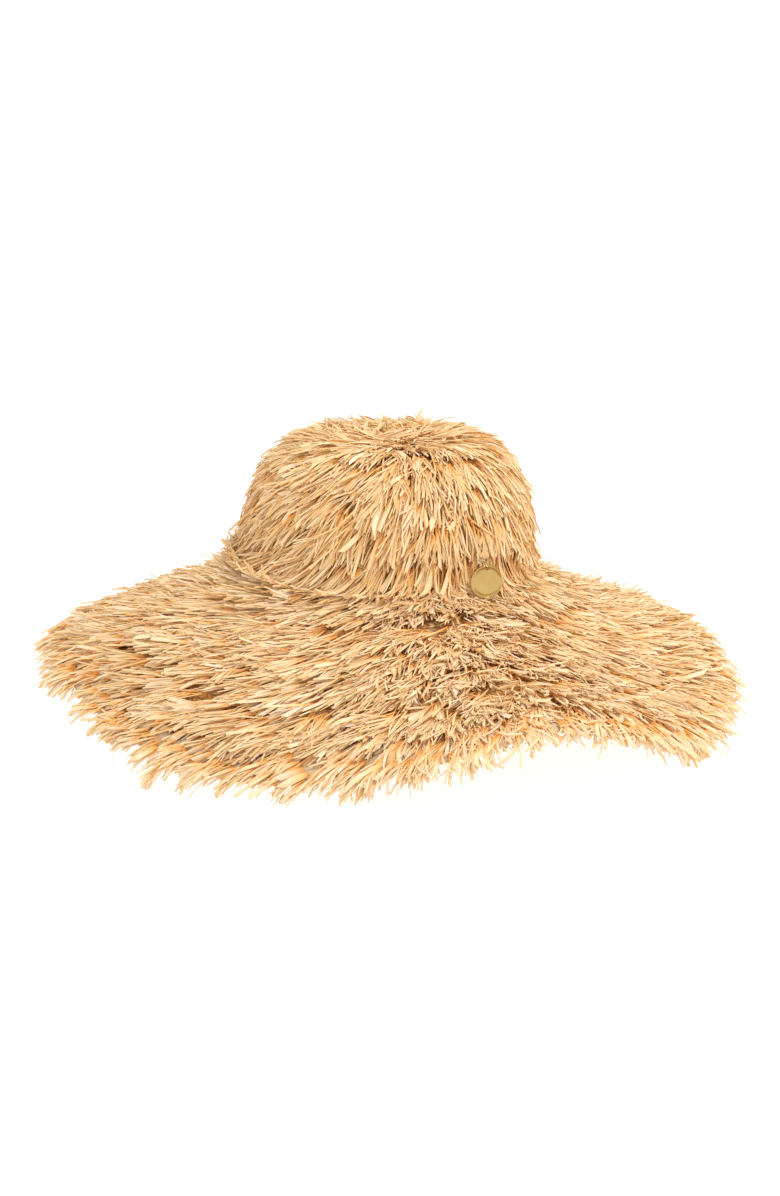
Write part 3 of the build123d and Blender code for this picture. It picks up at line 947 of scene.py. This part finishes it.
# (radius, half thickness) in mm, from the middle of the tag's face to its rim
TAG_PROFILE = (
    (0.0, 0.52), (4.0, 0.52), (8.0, 0.54), (9.1, 0.55), (9.25, 0.47), (9.45, 0.47), (9.6, 0.56), (10.1, 0.58),
    (10.3, 0.72), (10.5, 0.86), (10.8, 0.94), (11.1, 0.92), (11.33, 0.78), (11.46, 0.5), (11.5, 0.2),
)
TAG_COLUMNS = 128
HOLE_RADIUS = 1.25 * MM
HOLE_INSET = 2.6 * MM          # from the tag's rim to the middle of its hole
HOLE_SIDES = 48
CUTTER_DEPTH = 6 * MM
SHARP_ANGLE = math.radians(35)


def to_tag(place):
    """Place in the tag's own axes (sideways, up, out) as a place in the frame."""
    return TAG_MIDDLE + TAG_SIDE * place[0] + UP * place[1] + TAG_OUT * place[2]


def lathe(name, profile, columns):
    """Closed turned solid about the out axis, mirrored front to back."""
    front = [(radius * MM, half * MM) for radius, half in profile[1:]]
    ring = front + [(radius, -half) for radius, half in front[::-1]]
    turn = np.arange(columns) * FULL_TURN / columns
    places = [(r * math.cos(a), r * math.sin(a), z) for r, z in ring for a in turn]
    middle = len(places)
    places += [(0, 0, profile[0][1] * MM), (0, 0, -profile[0][1] * MM)]
    quads = grid_quads(len(ring), columns, closed_columns=True)[:, ::-1]
    i = np.arange(columns)
    top = np.stack((np.full(columns, middle), i, (i + 1) % columns), axis=1)
    last = (len(ring) - 1) * columns
    bottom = np.stack((np.full(columns, middle + 1), last + (i + 1) % columns, last + i), axis=1)
    return mesh_object(name, np.array(places), [quads, top, bottom], smooth=True)


def tag():
    """Turned tag with a rolled rim, a fine ring engraved inside it and a hole near its top."""
    disc = lathe("tag_body", TAG_PROFILE, TAG_COLUMNS)
    bpy.ops.mesh.primitive_cylinder_add(
        vertices=HOLE_SIDES, radius=HOLE_RADIUS, depth=CUTTER_DEPTH, location=(0, TAG_RADIUS - HOLE_INSET, 0)
    )
    cutter = bpy.context.object
    hole = disc.modifiers.new("hole", "BOOLEAN")
    hole.operation = "DIFFERENCE"
    hole.solver = "EXACT"
    hole.object = cutter
    solid = bpy.data.meshes.new_from_object(disc.evaluated_get(bpy.context.evaluated_depsgraph_get()))
    bpy.data.objects.remove(cutter)
    bpy.data.objects.remove(disc)
    for vertex in solid.vertices:
        vertex.co = to_tag(vertex.co)
    obj = bpy.data.objects.new("tag_medal", solid)
    bpy.context.scene.collection.objects.link(obj)
    solid.polygons.foreach_set("use_smooth", [True] * len(solid.polygons))
    solid.set_sharp_from_angle(angle=SHARP_ANGLE)
    return declare(obj, brass, TAG, "tag_brass", "tag_disc")


ASLANT = (0.3, 0.2, 0.9)       # lies along no tube here, so a tube's first side can start from it


def tube(name, line, radius, sides, closed):
    """Round tube along points, closed to a loop or with flat ends."""
    line = np.asarray(line)
    along = np.roll(line, -1, axis=0) - np.roll(line, 1, axis=0) if closed else np.gradient(line, axis=0)
    along /= np.linalg.norm(along, axis=1, keepdims=True)
    normal = np.cross(along[0], ASLANT)
    rings = []
    for place, direction in zip(line, along):
        normal = normal - direction * (normal @ direction)
        normal /= np.linalg.norm(normal)
        second = np.cross(direction, normal)
        turn = np.arange(sides)[:, None] * FULL_TURN / sides
        rings.append(place + radius * (np.cos(turn) * normal + np.sin(turn) * second))
    polygons = [grid_quads(len(line), sides, closed_rows=closed, closed_columns=True)[:, ::-1]]
    if not closed:
        polygons += [np.arange(sides)[None, ::-1], (len(line) - 1) * sides + np.arange(sides)[None]]
    run = np.concatenate(([0], np.cumsum(np.linalg.norm(np.diff(line, axis=0), axis=1))))
    around = np.arange(sides) * FULL_TURN * radius / sides
    uv = np.stack(np.broadcast_arrays(around[None, :], run[:, None]), axis=-1).reshape(-1, 2)
    return mesh_object(name, np.concatenate(rings), polygons, [("weave", uv)], smooth=True)


JUMP_RING_TURN = (-35, 322)    # degrees from its top, and the rest is the gap
JUMP_RING_STEPS = 72
JUMP_RING_WIRE = 0.48 * MM
JUMP_RING_SIDES = 14


def jump_ring():
    """Round wire ring with the small gap where it was bent shut, in the ring's upright plane."""
    turn = np.radians(np.linspace(*JUMP_RING_TURN, JUMP_RING_STEPS))[:, None]
    outward = np.cos(turn) * np.array(UP) + np.sin(turn) * np.array(TAG_OUT)
    line = np.array(RING_MIDDLE) + RING_RADIUS * outward
    obj = tube("jump_ring", line, JUMP_RING_WIRE, JUMP_RING_SIDES, closed=False)
    return declare(obj, brass, RING, "tag_brass", "tag_ring")


STITCH_HALF = 3.0 * MM
PLY_RADIUS = 0.27 * MM
PLY_OFFSET = 0.22 * MM
PLY_PITCH = 2.4 * MM
PLY_SIDES = 8
STITCH_STEP = 0.25 * MM
STITCH_DEPTH = 0.8 * MM        # how far inside the straw the stitch runs
CORNER_ROUNDS = 6              # smoothing passes over the route's corners


def stitch():
    """Two-ply thread that goes out through the straw, along the bar that holds the ring, and back in."""
    thread_low, thread_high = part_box("tag_thread")
    bar_height = (thread_low.z + thread_high.z) / 2
    outward = Vector((RING_MIDDLE.x, RING_MIDDLE.y, 0))
    reach = outward.length
    outward.normalize()
    side = UP.cross(outward)
    inner = CROWN_RADIUS - STRAW_THICKNESS - STITCH_DEPTH
    corners = ((inner, -1), (reach, -1), (reach, 1), (inner, 1))
    route = [outward * distance + side * STITCH_HALF * sign + UP * bar_height for distance, sign in corners]
    line = []
    for start, end in zip(route, route[1:] + route[:1]):
        steps = max(int((end - start).length / STITCH_STEP), 2)
        line += [start.lerp(end, step / steps) for step in range(steps)]
    line = np.array(line)
    for _ in range(CORNER_ROUNDS):
        line = (np.roll(line, 1, axis=0) + 2 * line + np.roll(line, -1, axis=0)) / 4
    along = np.roll(line, -1, axis=0) - np.roll(line, 1, axis=0)
    along /= np.linalg.norm(along, axis=1, keepdims=True)
    first = np.repeat(np.array(UP)[None], len(line), axis=0)
    second = np.cross(along, first)
    count = len(line)
    phase = np.arange(count)[:, None] * FULL_TURN * round(count * STITCH_STEP / PLY_PITCH) / count
    plies = []
    for ply in range(2):
        turn = phase + ply * math.pi
        ply_line = line + PLY_OFFSET * (np.cos(turn) * first + np.sin(turn) * second)
        plies.append(tube(f"ply_{ply}", ply_line, PLY_RADIUS, PLY_SIDES, closed=True))
    places = np.concatenate([np.array([v.co[:] for v in ply.data.vertices]) for ply in plies])
    quads = grid_quads(count, PLY_SIDES, closed_rows=True, closed_columns=True)[:, ::-1]
    across = np.arange(PLY_SIDES) * FULL_TURN * PLY_RADIUS / PLY_SIDES
    run = np.arange(count) * STITCH_STEP
    ply_uv = np.stack(np.broadcast_arrays(across[None, :], run[:, None]), axis=-1).reshape(-1, 2)
    for ply in plies:
        bpy.data.objects.remove(ply)
    polygons = [quads, quads + count * PLY_SIDES]
    obj = mesh_object("tag_stitch", places, polygons, [("weave", np.tile(ply_uv, (2, 1)))], smooth=True)
    return declare(obj, thread_cloth, HAT, "thread", "tag_thread")


tag()
jump_ring()
stitch()

# ---------------- floor, light and camera

VIEW_ELEVATION = math.radians(14.0)
VIEW_DISTANCE = 1.8
LENS = 117.0
SENSOR_WIDTH = 36.0
FARTHEST_SEEN = 400
AIM = Vector((0, 0, 0.080))
FLOOR_SIZE = 200
FLOOR_COLOUR = (0.3, 0.3, 0.3, 1)
FLOOR_GLOW = 0.9
WHITE = (1, 1, 1, 1)
LIGHT_PLACE = Vector((0.8, -0.8, 1.8))
LIGHT_SIZE = 0.5
LIGHT_POWER = 20.0


def build_floor():
    """Glowing pale floor, which stands for the white backdrop."""
    bpy.ops.mesh.primitive_plane_add(size=FLOOR_SIZE)
    floor = bpy.context.object
    floor.name = "floor"
    material, shader = new_material("floor")
    shader.inputs["Base Color"].default_value = FLOOR_COLOUR
    shader.inputs["Roughness"].default_value = 0.9
    shader.inputs["Emission Color"].default_value = WHITE
    shader.inputs["Emission Strength"].default_value = FLOOR_GLOW
    floor.data.materials.append(material)


def build_light():
    """White surroundings and one soft lamp, in front and to the right."""
    world = bpy.context.scene.world or bpy.data.worlds.new("world")
    bpy.context.scene.world = world
    world.use_nodes = True
    world.node_tree.nodes["Background"].inputs["Color"].default_value = WHITE
    world.node_tree.nodes["Background"].inputs["Strength"].default_value = 1.0
    light = bpy.data.lights.new("key", "AREA")
    light.shape = "DISK"
    light.size = LIGHT_SIZE
    light.energy = LIGHT_POWER
    lamp = bpy.data.objects.new("key", light)
    lamp.location = LIGHT_PLACE
    lamp.rotation_euler = (AIM - LIGHT_PLACE).to_track_quat("-Z", "Y").to_euler()
    bpy.context.scene.collection.objects.link(lamp)


def build_camera():
    """Camera a little above the brim, in front."""
    camera = bpy.data.cameras.new("camera")
    camera.lens = LENS
    camera.sensor_width = SENSOR_WIDTH
    camera.sensor_fit = "HORIZONTAL"
    camera.clip_end = FARTHEST_SEEN
    holder = bpy.data.objects.new("camera", camera)
    back = Vector((0, -math.cos(VIEW_ELEVATION), math.sin(VIEW_ELEVATION)))
    holder.location = AIM + back * VIEW_DISTANCE
    holder.rotation_euler = (-back).to_track_quat("-Z", "Y").to_euler()
    bpy.context.scene.collection.objects.link(holder)
    bpy.context.scene.camera = holder


build_floor()
build_light()
build_camera()
bpy.context.scene.view_settings.view_transform = "Standard"
bpy.context.scene.view_settings.look = "None"
bpy.context.scene.cycles.max_bounces = 8
bpy.context.scene.cycles.diffuse_bounces = 5
